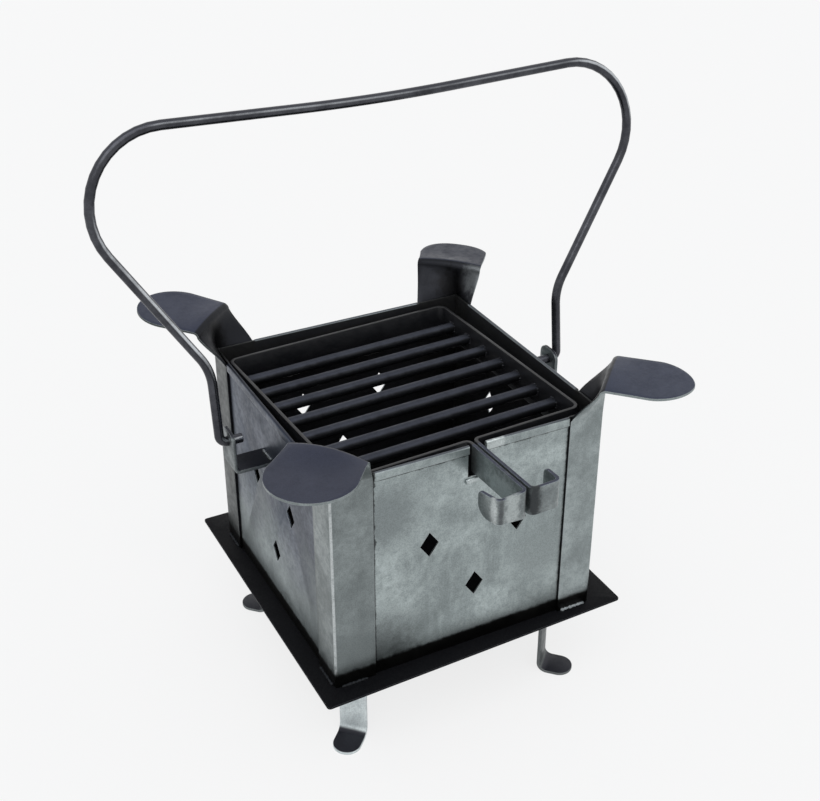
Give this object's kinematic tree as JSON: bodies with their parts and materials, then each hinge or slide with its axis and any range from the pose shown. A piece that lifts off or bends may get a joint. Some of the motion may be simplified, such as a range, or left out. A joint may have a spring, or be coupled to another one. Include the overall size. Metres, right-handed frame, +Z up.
{
  "type": "square camp stove with lift-out grate",
  "caption": "Square sheet-steel camp stove on bent feet, with a lift-out barred grate on a hooked handle, round-ended pot rests at the corners and a swinging bail.",
  "frame": {"origin": "ground level under the feet, at the middle of the whole stove's outline seen from above", "axes": "+Z up; -Y is the front, where the grate's hooked handle comes out; +X is the right-hand side seen from the front. The middle of the fire box is at Y = +4.9 mm"},
  "size_m": [0.4884, 0.3816, 0.5282],
  "materials": {
    "wall_sheet": "satin grey sheet with faint blotches",
    "post_sheet": "satin grey sheet, brighter on folds",
    "tray_sheet": "dark satin sheet",
    "foot_strip": "satin grey strip",
    "ear_strip": "satin grey strip",
    "ledge_angle": "dark satin",
    "weld_metal": "bright rough weld",
    "grate_strip": "satin grey strip",
    "grate_bar": "dark satin bar",
    "bail_rod": "dark polished rod"
  },
  "bodies": {
    "stove_body": {"back_panel": "wall_sheet", "base_tray": "tray_sheet", "corner_post_back_left": "post_sheet", "corner_post_back_right": "post_sheet", "corner_post_front_left": "post_sheet", "corner_post_front_right": "post_sheet", "ear_welds": "weld_metal", "foot_back_left": "foot_strip", "foot_back_right": "foot_strip", "foot_front_left": "foot_strip", "foot_front_right": "foot_strip", "foot_welds": "weld_metal", "front_panel": "wall_sheet", "ledge_welds": "weld_metal", "left_ear": "ear_strip", "left_grate_ledge": "ledge_angle", "left_panel": "wall_sheet", "post_welds": "weld_metal", "right_ear": "ear_strip", "right_grate_ledge": "ledge_angle", "right_panel": "wall_sheet"},
    "grate": {"grate_frame": "grate_strip", "grate_bar_1": "grate_bar", "grate_bar_2": "grate_bar", "grate_bar_3": "grate_bar", "grate_bar_4": "grate_bar", "grate_bar_5": "grate_bar", "grate_bar_6": "grate_bar", "grate_bar_7": "grate_bar", "grate_welds": "weld_metal"},
    "bail": {"bail_handle": "bail_rod"}
  },
  "joints": [
    {"name": "bail_swing", "type": "hinge", "parent": "stove_body", "child": "bail", "pos_m": [0, 0.0109, 0.262], "axis": [1, 0, 0], "range_deg": [-145, 155]},
    {"name": "grate_lift", "type": "slide", "parent": "stove_body", "child": "grate", "axis": [0, 0, 1], "range_m": [0, 0.1]}
  ]
}
